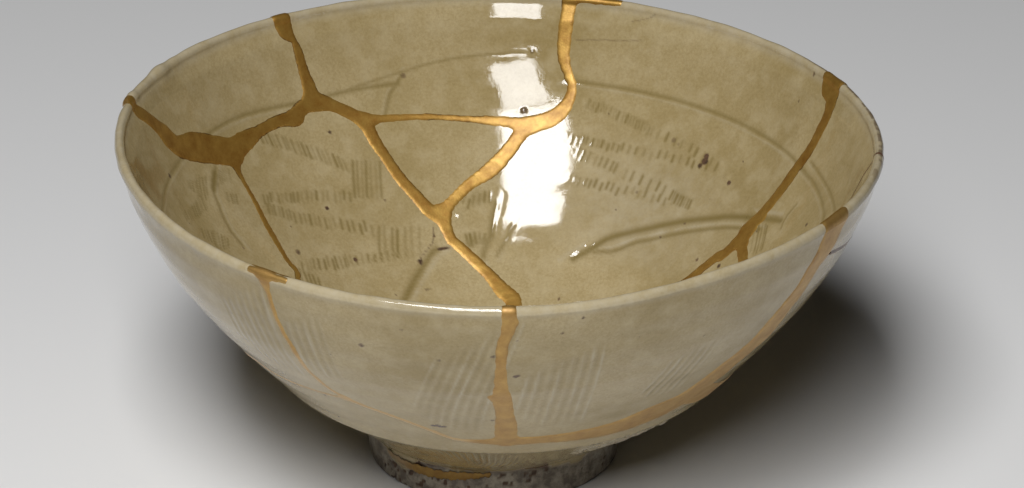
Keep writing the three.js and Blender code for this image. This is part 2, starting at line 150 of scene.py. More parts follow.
# The breaks: twenty lines along which the bowl came apart or its gold was dabbed on, each straight through
# the wall. Meeting points are (azimuth, climb), and a run of a break is (azimuth, climb, width of its gold).
# The rim chip came off along a line of its own, which was closed with bare lacquer.
LEFT_FORK = (-120.8, 0.555)
BACK_LEFT_FORK = (-143.6, 0.64)
TRIANGLE_LEFT = (-152.6, 0.49)
TRIANGLE_RIGHT = (-186.3, 0.415)
TRIANGLE_FOOT = (-164.6, 0.075)
BACK_BASE_FORK = (171, -0.93)
RIGHT_FORK = (113.2, 0.25)
RIGHT_BASE_FORK = (41.5, 0.17)
FRONT_FORK = (1.2, 0.076)
FRONT_LEFT_FORK = (-29.4, 0.275)
PAST_RIM = 1.04
BREAKS = [
    [(-98.6, PAST_RIM, 3.6), (-99.4, 0.965, 3.6), (-101, 0.927, 3.5), (-103.3, 0.866, 3.7),
     (-105.2, 0.797, 5.4), (-107.4, 0.726, 5.2), (-111.8, 0.677, 7), (-116.5, 0.614, 7),
     (*LEFT_FORK, 6.4)],
    [(*LEFT_FORK, 5.2), (-124.5, 0.57, 4.8), (-127, 0.578, 4), (-129.6, 0.585, 2.8),
     (-133.5, 0.596, 2.8), (-136.4, 0.592, 3.2), (-138.8, 0.59, 4.4), (-140.4, 0.615, 3.4),
     (*BACK_LEFT_FORK, 3.6)],
    [(*BACK_LEFT_FORK, 3.8), (-143.7, 0.708, 3.6), (-143.5, 0.768, 2.9), (-143.5, 0.823, 2.6),
     (-143.4, 0.875, 2.3), (-143.1, 0.91, 1.7), (-142.5, 0.935, 3), (-142, 0.965, 4.4),
     (-142.1, PAST_RIM, 4.6)],
    [(*BACK_LEFT_FORK, 4.2), (-146.8, 0.601, 3.2), (-149.3, 0.557, 2.9), (*TRIANGLE_LEFT, 3.2)],
    [(*TRIANGLE_LEFT, 2.6), (-159, 0.478, 1.6), (-166, 0.463, 1.5), (-172.5, 0.443, 1.5),
     (-178.6, 0.429, 2.3), (*TRIANGLE_RIGHT, 3)],
    [(*TRIANGLE_LEFT, 3.2), (-153.7, 0.379, 3.1), (-154.7, 0.313, 2.9), (-155.8, 0.248, 2.9),
     (-157.3, 0.193, 2.9), (-159.3, 0.142, 3.2), (-161.6, 0.09, 3.5), (*TRIANGLE_FOOT, 3.8)],
    [(*TRIANGLE_RIGHT, 3.4), (-184.2, 0.374, 3.4), (-181.8, 0.298, 3.5), (-177.9, 0.22, 3.8),
     (-172.6, 0.165, 2.8), (-168.7, 0.122, 2.6), (*TRIANGLE_FOOT, 3.2)],
    [(*TRIANGLE_RIGHT, 3.6), (-189.6, 0.446, 4), (-191.9, 0.492, 3.5), (-193.1, 0.56, 2.7),
     (-193.3, 0.624, 2.2), (-192.2, 0.692, 2.3), (-191.3, 0.758, 2.9), (-191.1, 0.845, 3.3),
     (-191.3, 0.925, 3.3), (-191.4, PAST_RIM, 3.1)],
    [(-191.4, 0.992, 1.8), (-199.8, 0.994, 1.5)],
    [(*TRIANGLE_FOOT, 3.8), (-165.2, 0.027, 2.9), (-166.8, -0.051, 2.7), (-171.2, -0.27, 2.8),
     (-175.8, -0.468, 3), (-180.2, -0.644, 3.6), (-185.3, -0.757, 3.4), (*BACK_BASE_FORK, 3)],
    [(*LEFT_FORK, 3.2), (-119.6, 0.479, 2), (-119.2, 0.411, 1.3), (-118.5, 0.316, 1.5),
     (-117, 0.225, 1.7), (-116.2, 0.167, 1.8), (-114.9, 0.098, 1.5), (-113.1, 0.038, 1.7), (-95, 0, 1.3),
     (-75, 0.1, 1), (-57, 0.235, 0.8), (-50, 0.215, 0.7), (*FRONT_LEFT_FORK, 0.9)],
    [(114.2, PAST_RIM, 8.6), (113.8, 0.984, 7.6), (112.2, 0.954, 4.6), (111.1, 0.885, 3.5),
     (111.2, 0.805, 3.2), (111.3, 0.715, 3.2), (112, 0.615, 3.3), (112.3, 0.515, 3.3),
     (112.5, 0.415, 3.1), (112.7, 0.322, 3.6), (*RIGHT_FORK, 4)],
    [(*RIGHT_FORK, 3.6), (113.6, 0.18, 3.2), (114.7, 0.125, 3), (117.2, 0.069, 2.6), (131, -0.44, 2.5),
     (150, -0.85, 2.5), (*BACK_BASE_FORK, 2.5)],
    [(*RIGHT_FORK, 3.6), (111.1, 0.2, 3.4), (106.9, 0.166, 3), (90, 0.07, 3.4), (68, 0.04, 4.4),
     (54, 0.07, 6.5), (*RIGHT_BASE_FORK, 8)],
    [(-35.4, PAST_RIM, 3.4), (-35.2, 0.965, 2.6), (-35.1, 0.935, 1.6), (-35, 0.906, 1.2),
     (-34.9, 0.754, 1.2), (-34.4, 0.6, 1.2), (-33.9, 0.444, 1.3), (-32, 0.33, 1.3),
     (*FRONT_LEFT_FORK, 1.6)],
    [(-38, 0.99, 1), (-35.2, 0.99, 1.5), (-31.5, 0.99, 1)],
    [(*FRONT_LEFT_FORK, 1.5), (-19.7, 0.188, 1.3), (-13.5, 0.12, 1.4), (-8.7, 0.077, 1.6),
     (*FRONT_FORK, 4)],
    [(1.2, PAST_RIM, 2.4), (1.6, 0.955, 3.2), (1.5, 0.927, 2.9), (1.1, 0.881, 2.3), (0.6, 0.83, 2.2),
     (0.35, 0.712, 2.1), (0.3, 0.642, 2.3), (0.3, 0.564, 2.7), (0.3, 0.479, 3.6), (0.6, 0.388, 3.8),
     (0.9, 0.297, 3.8), (1.1, 0.208, 4.4), (*FRONT_FORK, 4.6)],
    [(0.2, 0.455, 3), (-0.7, 0.45, 2.8)],
    [(*FRONT_FORK, 4.6), (8, 0.078, 4.2), (14.2, 0.078, 4.9), (25, 0.084, 7.4), (33, 0.115, 10),
     (*RIGHT_BASE_FORK, 10.5), (47.7, 0.36, 9.6), (50.4, 0.445, 9.4), (52, 0.609, 8), (54.4, 0.741, 6.4),
     (55.3, 0.842, 6.6), (56.8, 0.89, 8), (58.8, PAST_RIM, 10)],
]
CHIP_LINE = [(83.6, PAST_RIM), (83.2, 0.91), (82.8, 0.81), (81.5, 0.75), (74, 0.745), (56, 0.87)]
CHIP_LINE_WIDTH = 0.9
WEB = 0.5  # mm over which the gold of neighbouring breaks melts together
GOLD_REACH, UNDER_GOLD = 9, 0.15

climb_table = np.linspace(-2, 1, 1501)
outer_table, inner_table = outer_outline(climb_table), inner_outline(climb_table)
length_table = np.concatenate([[0], np.cumsum(np.linalg.norm(np.diff(inner_table, axis=0), axis=1))])
mm_past_rim = (length_table[-1] - length_table[-21]) / (climb_table[-1] - climb_table[-21])


def wall_length(climb):
    """Millimetres up the inner face from the axis to a climb, carried straight on past the rim."""
    return np.interp(climb, climb_table, length_table) + np.maximum(np.asarray(climb) - 1, 0) * mm_past_rim


def middle_radius(climb):
    """Radius half way through the wall at a climb."""
    return np.interp(climb, climb_table, (outer_table[:, 0] + inner_table[:, 0]) / 2)


def rounded_run(run, steps=4):
    """A run of set points drawn as one flowing line through them, each tangent along its neighbours. The
    azimuths are first carried on past half a turn, so that no stretch goes the long way round."""
    points = np.array(run, float)
    points[:, 0] = np.degrees(np.unwrap(np.radians(points[:, 0])))
    ends = np.vstack([2 * points[0] - points[1], points, 2 * points[-1] - points[-2]])
    share = np.linspace(0, 1, steps, endpoint=False)[:, None]
    tangent = (ends[2:] - ends[:-2]) / 2
    pieces = []
    for i in range(len(points) - 1):
        start, end = points[i], points[i + 1]
        rise = 3 * share**2 - 2 * share**3
        lead = tangent[i] * (share - 2 * share**2 + share**3) + tangent[i + 1] * (share**3 - share**2)
        pieces.append(start + (end - start) * rise + lead)
    return np.vstack([*pieces, points[-1:]])


def beside(run, azimuth, climb):
    """Where points of the wall lie beside a run: mm outside its half width, mm to its upper side and mm
    from its middle. Each point takes the nearest stretch, on the wall laid flat around it."""
    line = np.array(run, float)
    radius, length = middle_radius(climb), wall_length(climb)
    line_length = wall_length(line[:, 1])
    width = line[:, 2] if line.shape[1] > 2 else np.zeros(len(line))
    nearest = np.full(azimuth.shape, 1e6)
    upper, apart = np.zeros_like(nearest), np.zeros_like(nearest)
    for i in range(len(line) - 1):
        ax, ay = np.radians(swing(line[i, 0], azimuth)) * radius, line_length[i] - length
        dx = np.radians(line[i + 1, 0] - line[i, 0]) * radius
        dy = line_length[i + 1] - line_length[i]
        stretch = np.hypot(dx, dy) + 1e-9
        share = np.clip(-(ax * dx + ay * dy) / stretch**2, 0, 1)
        away = np.hypot(ax + share * dx, ay + share * dy)
        score = away - (width[i] + (width[i + 1] - width[i]) * share) / 2
        closer = score < nearest
        nearest = np.where(closer, score, nearest)
        upper = np.where(closer, (ax * dy - ay * dx) / stretch, upper)
        apart = np.where(closer, away, apart)
    return nearest, upper, apart


def around(line, azimuth, climb, reach):
    """True for points of the wall inside the box round a run, widened by a reach in mm."""
    middle = (line[:, 0].min() + line[:, 0].max()) / 2
    aside = np.abs(swing(azimuth, middle))
    half = np.ptp(line[:, 0]) / 2 + np.degrees(reach / middle_radius(np.maximum(climb, -1.1)))
    up, span = wall_length(climb), wall_length(line[:, 1])
    return (aside < half) & (up > span.min() - reach) & (up < span.max() + reach)


def near_run(run, azimuth, climb, reach):
    """Which points of the wall are near a run, and where those lie beside it once it is rounded."""
    line = rounded_run(run)
    near = around(line, azimuth, climb, reach)
    return near, *beside(line, azimuth[near], climb[near])


def gold_edge(azimuth, climb):
    """Millimetres outside the edge of the gold, less than 0 on it: distance from each break less half its
    width, all breaks melted together so that the forks are webbed, and a ragged edge from crossed waves."""
    melted = np.zeros(azimuth.shape)
    for run in BREAKS:
        near, outside_it, _, _ = near_run(run, azimuth, climb, GOLD_REACH)
        melted[near] += np.exp(-outside_it / WEB)
    across = np.radians(azimuth) * middle_radius(climb)
    up = wall_length(climb)
    ragged = 0.09 * np.sin(1.3 * across + 0.7 * up) * np.sin(1.1 * up - 0.4 * across + 1)
    ragged += 0.035 * np.sin(2.9 * across - 2.1 * up + 2) + 0.015 * np.sin(5.3 * up + 3.7 * across)
    return -WEB * np.log(np.maximum(melted, 1e-30)) + ragged


def chip_edge(azimuth, climb):
    """Millimetres outside the edge of the brown lacquer line round the rim chip."""
    return beside(rounded_run(CHIP_LINE), azimuth, climb)[2] - CHIP_LINE_WIDTH / 2


def sherd_edge(azimuth, climb):
    """Millimetres inside the broken edge of a sherd, which reaches a little under the gold or lacquer."""
    return np.minimum(gold_edge(azimuth, climb), chip_edge(azimuth, climb)) + UNDER_GOLD


# The sherds: ten pieces of the one body, each a closed piece of wall between breaks. The potter cut a ring
# and petal lines inside and scratched rows of short comb strokes between them; the outside has fans of
# comb lines. Clear olive glaze runs over all of it but the foot.
SHERDS = {  # a point on the face of each sherd, (azimuth, climb)
    "sherd_back_left": (-125, 0.85),
    "sherd_back": (-168, 0.75),
    "sherd_back_triangle": (-167, 0.33),
    "sherd_back_right": (140, 0.5),
    "sherd_right": (90, 0.4),
    "sherd_right_rim_chip": (74, 0.92),
    "sherd_front_right": (28, 0.6),
    "sherd_front_left": (-15, 0.6),
    "sherd_left": (-70, 0.6),
    "sherd_base_and_foot": (-60, -0.7),
}
COLUMNS = 940
BACK_CLOSER, FRONT_CLOSER = 1.9, 1.5
WALL_ROWS, LIP_ROWS, SKIRT_ROWS, NECK_ROWS, FOOT_ROWS, FLOOR_ROWS = 132, 8, 26, 5, 11, 4
COARSE_BELOW, COARSE_PAST = -0.03, 50

CUT_LINES = [  # incised lines inside: run of (azimuth, climb), half width and depth in mm
    ([(-161, 0.645), (-152, 0.648), (-140, 0.65), (-124, 0.69), (-105, 0.68), (-60, 0.66), (-20, 0.64),
      (40, 0.6), (88, 0.57), (91.9, 0.582), (98.3, 0.601), (104.6, 0.614), (110.6, 0.619), (118, 0.636),
      (140, 0.648), (168, 0.648)], 0.55, 0.09),
    ([(87.3, 0.656), (93.2, 0.663), (98.6, 0.664), (104, 0.666), (109, 0.675)], 0.45, 0.08),
    ([(-148, 0.64), (-155, 0.67), (-162, 0.7), (-168, 0.73), (-175, 0.753), (-184, 0.769)], 0.35, 0.03),
    ([(-157, 0.484), (-158, 0.54), (-159, 0.594), (-160.5, 0.64), (-162, 0.685)], 0.5, 0.07),
    ([(158.4, -0.197), (155.4, -0.083), (152.5, 0.011), (145.1, 0.064), (139.5, 0.1), (132, 0.157),
      (126, 0.203), (121, 0.247), (113, 0.31), (106, 0.37)], 0.9, 0.18),
    ([(153, -0.06), (143.6, 0.031), (137.9, 0.067), (128.6, 0.136), (119.5, 0.209),
      (110, 0.28)], 0.6, 0.12),
    ([(181.2, 0.1), (182.4, 0.04), (183.6, -0.04), (184.8, -0.14), (185.6, -0.24)], 0.8, 0.1),
    ([(176.8, 0.036), (178, 0.007), (179.6, -0.099), (181.5, -0.24)], 0.5, 0.07),
    ([(-161, -0.1), (-159.4, -0.136), (-154.2, -0.315), (-145.6, -0.554), (-136, -0.75)], 0.9, 0.16),
    ([(-114.4, 0.54), (-112.3, 0.51), (-110.8, 0.488), (-109.1, 0.454), (-108.2, 0.411), (-106.6, 0.359),
      (-105.7, 0.315), (-105.2, 0.291), (-105, 0.232)], 0.6, 0.1),
    ([(105.1, 0.477), (105.3, 0.421), (104.7, 0.377), (103.8, 0.351)], 0.4, 0.06),
]
COMB_ROWS = [  # rows of short strokes inside: tops, bottoms as (azimuth, climb), number of strokes
    ([(-129.5, 0.59), (-137.2, 0.47), (-145.3, 0.333)],
     [(-129.4, 0.528), (-137, 0.41), (-145.3, 0.279)], 18),
    ([(-147.2, 0.319), (-150.3, 0.302), (-153.4, 0.288)],
     [(-144.2, 0.184), (-147.4, 0.168), (-151, 0.156)], 7),
    ([(-121.8, 0.322), (-131.2, 0.264), (-143.5, 0.205)],
     [(-120.8, 0.292), (-130.2, 0.236), (-142.8, 0.177)], 20),
    ([(-121.3, 0.287), (-126.7, 0.209), (-134.9, 0.143), (-145.2, 0.084)],
     [(-120.1, 0.254), (-125.7, 0.179), (-134.1, 0.114), (-144.7, 0.057)], 22),
    ([(-147.1, 0.074), (-151.9, 0.053), (-157.8, 0.041)],
     [(-143.9, -0.003), (-149.1, -0.102), (-155.6, -0.16)], 7),
    ([(-118.7, 0.063), (-128.1, 0.037), (-135.8, 0.018), (-148.5, -0.01)],
     [(-117.1, 0.041), (-126.9, 0.014), (-134.9, -0.024), (-147.6, -0.12)], 20),
    ([(-116.3, 0.05), (-120.1, 0.009)], [(-114.1, 0.021), (-117.9, -0.09)], 5),
    ([(-171, 0.112), (-174.2, 0.127), (-177.2, 0.143)],
     [(-170.3, 0.091), (-173.6, 0.096), (-177.1, 0.111)], 6),
    ([(-170, 0.011), (-175.4, 0.011)], [(-170.5, -0.101), (-174.9, -0.051)], 5),
    ([(162.9, 0.563), (155.2, 0.522), (148.8, 0.488), (131.9, 0.426)],
     [(163.3, 0.524), (155.4, 0.483), (149, 0.45), (131.8, 0.39)], 27),
    ([(166.3, 0.377), (153.5, 0.368), (134.1, 0.4)], [(166.6, 0.349), (153.6, 0.34), (133.9, 0.371)], 24),
    ([(163.1, 0.323), (154.1, 0.282), (138.9, 0.241), (133.3, 0.231)],
     [(163.6, 0.287), (154.4, 0.247), (138.9, 0.208), (133, 0.199)], 22),
    ([(164.2, 0.209), (153.2, 0.201), (137.9, 0.213)],
     [(164.5, 0.185), (153.4, 0.178), (137.7, 0.19)], 18),
    ([(-103.8, 0.595), (-105.6, 0.567), (-108.3, 0.557), (-110.1, 0.535)],
     [(-102.9, 0.569), (-103.7, 0.527), (-104.7, 0.47), (-106.8, 0.463)], 13),
    ([(-94.1, 0.531), (-98.1, 0.504), (-101.3, 0.495), (-105.4, 0.511)],
     [(-93.4, 0.503), (-97, 0.463), (-99.6, 0.447), (-103.8, 0.44)], 16),
    ([(-96, 0.41), (-97.6, 0.381), (-100.2, 0.35), (-102, 0.292)],
     [(-94.3, 0.386), (-95.6, 0.342), (-96, 0.3), (-99.8, 0.274)], 12),
    ([(-114.6, 0.516), (-117.4, 0.49)], [(-113, 0.463), (-116.3, 0.445)], 6),
    ([(-112, 0.422), (-114.9, 0.388)], [(-111.2, 0.391), (-113.6, 0.355)], 5),
    ([(111.8, 0.28), (110.4, 0.3), (108.5, 0.313)], [(106.8, 0.208), (104.7, 0.209), (103.8, 0.236)], 6),
    ([(60, 0.5), (95, 0.4)], [(59, 0.46), (94, 0.36)], 26),
    ([(-90, 0.3), (-60, 0.35)], [(-89, 0.26), (-59, 0.31)], 22),
    ([(-20, 0.45), (30, 0.42)], [(-21, 0.41), (29, 0.38)], 34),
    ([(-60, 0.15), (-20, 0.1)], [(-59, 0.1), (-19, 0.05)], 24),
    ([(20, 0.1), (80, 0.15)], [(21, 0.05), (79, 0.1)], 36),
]
STROKE_HALF_WIDTH, STROKE_SHARE, STROKE_DEPTH = 0.4, 0.3, 0.05
STROKE_REACH, STROKE_TILT = 2, 0.004
COMB_FANS = [  # fans of comb lines outside: azimuth at top and foot, climb at top and foot, teeth
    (-2.5, -11.2, 0.87, 0.14, 8), (10.4, 9, 0.74, 0.18, 8), (33, 30, 0.62, 0.28, 6),
    (-41.5, -42.5, 0.88, 0.36, 8), (-30.5, -30.8, 0.85, 0.45, 5), (75, 72, 0.8, 0.16, 8),
    (103, 99, 0.84, 0.18, 8), (134, 130, 0.86, 0.14, 8), (165, 161, 0.8, 0.16, 8),
    (-165, -169, 0.86, 0.18, 8), (-134, -138, 0.84, 0.14, 8), (-104, -108, 0.82, 0.16, 8),
    (-75, -79, 0.86, 0.15, 8),
]
TOOTH_PITCH, TOOTH_DEPTH = 2.05, 0.1
OUTSIDE, INSIDE = 0, 1
IRON_SPOTS = {  # azimuth, climb, radius in mm, strength
    INSIDE: [
        (135.1, 0.407, 1.1, 1), (135.3, 0.431, 0.9, 0.9), (135.7, 0.38, 0.8, 0.8),
        (143.9, 0.453, 0.9, 0.45), (142.6, 0.44, 0.6, 0.35), (126.7, 0.364, 0.75, 0.9),
        (-98.8, 0.682, 0.7, 0.9), (-120.1, 0.096, 0.95, 0.6), (-135.9, 0.177, 0.65, 0.9),
        (-144.8, 0.472, 0.6, 0.8), (-135.7, 0.006, 0.7, 0.9), (-154.9, -0.219, 0.8, 0.9),
        (-151.3, 0.148, 0.5, 0.5), (121.2, 0.071, 0.6, 0.7), (96.4, 0.469, 0.7, 0.7),
        (-161.2, 0.016, 0.5, 0.7), (151, 0.12, 0.45, 0.5), (120, 0.86, 0.5, 0.6),
        (131.6, 0.15, 0.5, 0.6), (136.1, 0.081, 0.5, 0.6), (126.4, 0.484, 0.35, 0.7),
        (112.9, 0.097, 0.7, 0.9), (116, 0.128, 0.6, 0.8), (-104.3, 0.223, 0.4, 0.7),
        (158.1, -0.699, 0.5, 0.8), (119.3, 0.974, 0.6, 0.7), (147.5, 0.196, 0.6, 0.4),
        (175.5, 0.484, 1.4, 0.6), (-162.2, 0.682, 0.9, 0.5), (174.4, 0.779, 0.8, 0.5)],
    OUTSIDE: [
        (-20.8, 0.769, 0.8, 0.7), (-13.4, 0.172, 0.7, 0.9), (-12.3, 0.174, 0.85, 1),
        (-11.2, 0.172, 0.7, 0.9), (2.6, 0.628, 0.65, 0.9), (3.2, 0.633, 0.4, 0.9),
        (9.1, 0.882, 0.5, 0.7), (12, 0.944, 0.5, 0.8), (-0.9, 0.766, 0.55, 0.7), (-9, 0.732, 0.5, 0.6),
        (21, 0.8, 0.4, 0.5), (33, 0.7, 0.45, 0.5), (-27, 0.66, 0.4, 0.5), (-46, 0.7, 0.5, 0.5),
        (-14, 0.886, 0.6, 0.4), (-1.4, 0.247, 0.6, 0.7)],
}
SCATTERED_SPOTS = 70
CRACKS = [  # dark cracks and stains: face, run of (azimuth, climb), half width in mm, strength
    (INSIDE, [(166.9, 0.84), (163.3, 0.852), (159.2, 0.862), (155.3, 0.878)], 0.34, 0.36),
    (INSIDE, [(157.6, 0.942), (155, 0.962), (153.8, 0.978)], 0.34, 0.36),
    (INSIDE, [(-164.5, -0.091), (-161.7, -0.106)], 0.36, 1),
    (INSIDE, [(-161.6, 0.04), (-160.8, 0.007), (-157.9, -0.096), (-156, -0.156), (-154.8, -0.206)],
     0.3, 0.5),
    (INSIDE, [(-152.7, -0.553), (-155.5, -0.543), (-159.4, -0.532)], 0.24, 0.5),
    (OUTSIDE, [(-30, -1.022), (-10, -1.012), (5, -1.018), (24, -1.005)], 0.34, 0.9),
    (OUTSIDE, [(-2, -1.06), (8, -1.066), (16, -1.06), (24, -1.048)], 0.7, 1),
    (OUTSIDE, [(4, -1.12), (9, -1.126), (16, -1.118)], 0.6, 1),
]
OLIVE_POOLS = [  # drops of thick glaze inside: azimuth, climb, radius in mm, strength
    (-112.8, 0.513, 1.6, 0.5), (-111.5, 0.491, 1.8, 0.6), (-110, 0.478, 1.3, 0.5), (137, 0.24, 2.4, 0.3),
    (-174, 0.12, 2.6, 0.3), (-172, -0.03, 2.4, 0.3),
]
BLISTERS = [(-169, 0.067), (-179.8, -0.362), (158.9, -0.236), (128.1, 0.379), (-158.7, -0.355),
            (174.4, 0.775), (175.5, 0.484)]
BLISTER_RADIUS, BLISTER_HEIGHT = 0.75, 0.22
PAINTED_HAZE_AT, PAINTED_HAZE_HALF = (145, 0.16), (20, 0.22)  # painted haze, a dim reflection inside: azimuth, climb
FLARE_FROM, FLARE_SLOPE = 0.912, 0.125  # the inside turns out below the lip
WELL_BEND, WELL_BEND_BELOW, WELL_BEND_HALF = 0.238, 1.6, 3.4  # mm by which the wall bends into the well
LIP_TAPER = 0.35
RIM_LUMPS = [  # drops of glaze on the lip: azimuth, half width in degrees, height in mm
    (-112, 2.6, 0.5), (-116.6, 1.3, 0.18), (-121, 2, 0.14), (-101.4, 1.2, 0.25),
]
FOOT_BRUISE = [  # azimuth, climb, width in mm
    (-54, -1.065, 0.9), (-42, -1.092, 1.6), (-30, -1.096, 2), (-18, -1.084, 1.8), (-2, -1.05, 1),
]
BRUISE_DEPTH = 0.5
FLUTES_PER_TURN, FLUTE_SLANT, FLUTE_DEPTH = 190, 7, 0.28
FLUTED_AT, FLUTED_HALF, FLUTED_ELSEWHERE = -4, 8, 0.06
FLUTED_CLIMBS = (-0.85, -0.55, -0.14, -0.03)  # here and below: start, full, fading, end
FLAKED_AZIMUTHS, FLAKED_CLIMBS, FLAKE_RELIEF = (17, 24, 44, 50), (-0.55, -0.4, -0.08, 0), 0.3
GLAZE_FOOT = -1.03
GLAZE_RUNS = [(-45, 8, 0.13), (40, 6, 0.05)]  # glaze run down the foot: azimuth, half width, climb
PIT_DEPTH = 0.3
BROWN_EDGE_AZIMUTHS, BROWN_EDGE_CLIMBS = (64, 82, 116, 132), (0.9, 0.955)
COARSE_GRAIN, FINE_GRAIN, GRAIN_CELLS = 2.3, 0.8, 61


def grain(points, size, seed):
    """Unevenness: chance values from -1 to 1 on a lattice of a size in mm, blended between its corners."""
    lattice = np.random.default_rng(seed).uniform(-1, 1, (GRAIN_CELLS, GRAIN_CELLS, GRAIN_CELLS))
    cell = np.floor(points / size).astype(int)
    share = smooth(points / size - cell, 0, 1)
    total = np.zeros(points.shape[:-1])
    for corner in np.ndindex(2, 2, 2):
        weight = np.prod(np.where(corner, share, 1 - share), -1)
        i, j, k = np.moveaxis((cell + corner) % GRAIN_CELLS, -1, 0)
        total += weight * lattice[i, j, k]
    return total


def column_azimuths(count):
    """Azimuths round the bowl, closer together where the back of the inside and the front of the outside
    carry the finest work: even steps along the running sum of how close the columns should stand."""
    angle = np.linspace(-180, 180, 3601)
    aside = np.abs(angle)
    close = 1 + BACK_CLOSER * smooth(aside, 84, 94) + FRONT_CLOSER * (1 - smooth(aside, 62, 70))
    run = np.concatenate([[0], np.cumsum((close[1:] + close[:-1]) / 2)])
    return np.interp(np.arange(count) / count * run[-1], run, angle)


def row_climbs(fineness):
    """Climbs from the axis to the top of the lip: set stations under the foot, even steps up the foot, its
    neck and the skirt, equal lengths up the wall, and a few close rows round the lip."""
    floor = np.linspace(-2, -1.6, round(FLOOR_ROWS * fineness), endpoint=False)
    ring = [climb for climb, _, _ in UNDERSIDE if -1.6 <= climb < -1.28]
    foot = np.linspace(-1.28, -1.03, round(FOOT_ROWS * fineness), endpoint=False)
    neck = np.linspace(-1.03, -0.9, round(NECK_ROWS * fineness), endpoint=False)
    skirt = np.linspace(-0.9, 0, round(SKIRT_ROWS * fineness), endpoint=False)
    wall_rows = round(WALL_ROWS * fineness)
    lengths = np.linspace(wall_length(0), wall_length(LIP_START), wall_rows, endpoint=False)
    wall = np.interp(lengths, length_table, climb_table)
    lip = np.linspace(LIP_START, 1, round(LIP_ROWS * fineness))
    return np.concatenate([floor, ring, foot, neck, skirt, wall, lip])


def cut_relief(azimuth, climb):
    """Depth in mm of the incised lines inside, less the low ridge that the tool threw up beside each: a
    bell across the line, less a smaller bell a width and a half below it. Also the share of glaze that
    pools in them, more in the deeper ones."""
    depth, pooled = np.zeros(azimuth.shape), np.zeros(azimuth.shape)
    for run, half_width, deepest in CUT_LINES:
        near, _, upper, apart = near_run(run, azimuth, climb, 4 * half_width)
        groove = bell(apart, half_width)
        ridge = 0.55 * bell(upper + 1.6 * half_width, 0.7 * half_width) * (apart < 4 * half_width)
        depth[near] = np.maximum(depth[near], deepest * groove) - deepest * ridge * (apart > half_width)
        pooled[near] = np.maximum(pooled[near], min(0.45 + 3 * deepest, 1) * groove)
    return depth, pooled


def comb_strokes(azimuth, climb):
    """Share of full depth of the short comb strokes inside: a bell across each stroke, which runs from the
    row's line of tops to its line of bottoms. Places and weights vary a little."""
    chance = np.random.default_rng(11)
    depth = np.zeros(azimuth.shape)
    for tops, bottoms, count in COMB_ROWS:
        share = (np.arange(count) + chance.uniform(-0.16, 0.16, count)) / (count - 1)
        ends = []
        for line in (tops, bottoms):
            at = np.linspace(0, 1, len(line))
            ends.append(np.stack([np.interp(share, at, values) for values in np.array(line, float).T], -1))
        weight = chance.uniform(0.35, 1, count)
        row_mm = np.hypot(*((ends[0][-1] - ends[0][0]) * (1.2, 62)))
        half_width = min(STROKE_HALF_WIDTH, STROKE_SHARE * row_mm / (count - 1))
        strokes = np.stack(ends, 1)
        strokes[..., 1] += chance.normal(0, STROKE_TILT, count)[:, None]
        near = around(strokes.reshape(-1, 2), azimuth, climb, STROKE_REACH)
        for stroke, press in zip(strokes, weight):
            apart = beside(stroke, azimuth[near], climb[near])[2]
            depth[near] = np.maximum(depth[near], press * bell(apart, half_width))
    return depth


def comb_fans(azimuth, climb):
    """Share of full depth of the comb lines outside, and of the thin pale ridges between them: raised
    cosines across the teeth of each fan, each tooth with its own weight that comes and goes along it, faded
    past the outer teeth and at both ends, and shorter to the left."""
    chance = np.random.default_rng(23)
    grooves, ridges = np.zeros(azimuth.shape), np.zeros(azimuth.shape)
    for top, foot, top_climb, foot_climb, teeth in COMB_FANS:
        share = (climb - foot_climb) / (top_climb - foot_climb)
        aside = swing(azimuth, foot + (top - foot) * share)
        tooth = np.radians(aside) * middle_radius(climb) / TOOTH_PITCH
        starts = smooth(share - 0.09 * np.maximum(-tooth - 1, 0), -0.05, 0.12)
        stops = 1 - smooth(share - 0.045 * tooth, 0.88, 1.03)
        sides = 1 - smooth(np.abs(tooth), teeth / 2 - 0.5, teeth / 2)
        press, swell = chance.uniform(0.15, 1, teeth + 3), chance.uniform(0, 6.3, teeth + 3)
        number = np.clip(np.floor(tooth) + teeth // 2 + 1, 0, teeth + 2).astype(int)
        weight = starts * stops * sides * (0.7 + 0.3 * np.sin(9 * share + swell[number]))
        wave = 0.5 + 0.5 * np.cos(2 * np.pi * tooth)
        grooves = np.maximum(grooves, 0.8 * starts * stops * sides * wave**1.5)
        ridges = np.maximum(ridges, weight * press[number] * (1 - wave) ** 5)
    return grooves, ridges


def soft_discs(discs, azimuth, climb):
    """Greatest strength at each point of soft discs, each an azimuth, climb, radius in mm and strength:
    full to a third of the radius, and smoothly down to nothing a little past it."""
    strength = np.zeros(azimuth.shape)
    for at, height, radius, weight in discs:
        near = around(np.array([(at, height)], float), azimuth, climb, 1.3 * radius)
        across = np.radians(swing(azimuth[near], at)) * middle_radius(climb[near])
        away = np.hypot(across, wall_length(climb[near]) - wall_length(height))
        disc = 1 - smooth(away, 0.35 * radius, 1.2 * radius)
        strength[near] = np.maximum(strength[near], weight * disc)
    return strength


def iron_marks(azimuth, climb, face):
    """Strength of the dark marks of one face: listed iron spots and scattered ones, and stained cracks."""
    chance = np.random.default_rng(5)
    scattered = np.stack([
        chance.integers(0, 2, SCATTERED_SPOTS), chance.uniform(-180, 180, SCATTERED_SPOTS),
        chance.uniform(-0.6, 0.97, SCATTERED_SPOTS), chance.uniform(0.25, 0.45, SCATTERED_SPOTS),
        chance.uniform(0.3, 0.8, SCATTERED_SPOTS)], -1)
    spots = [*IRON_SPOTS[face], *scattered[scattered[:, 0] == face, 1:]]
    strength = soft_discs(spots, azimuth, climb)
    for side, run, half_width, weight in CRACKS:
        if side == face:
            near, _, _, apart = near_run(run, azimuth, climb, 3 * half_width)
            strength[near] = np.maximum(strength[near], weight * bell(apart, half_width))
    return strength


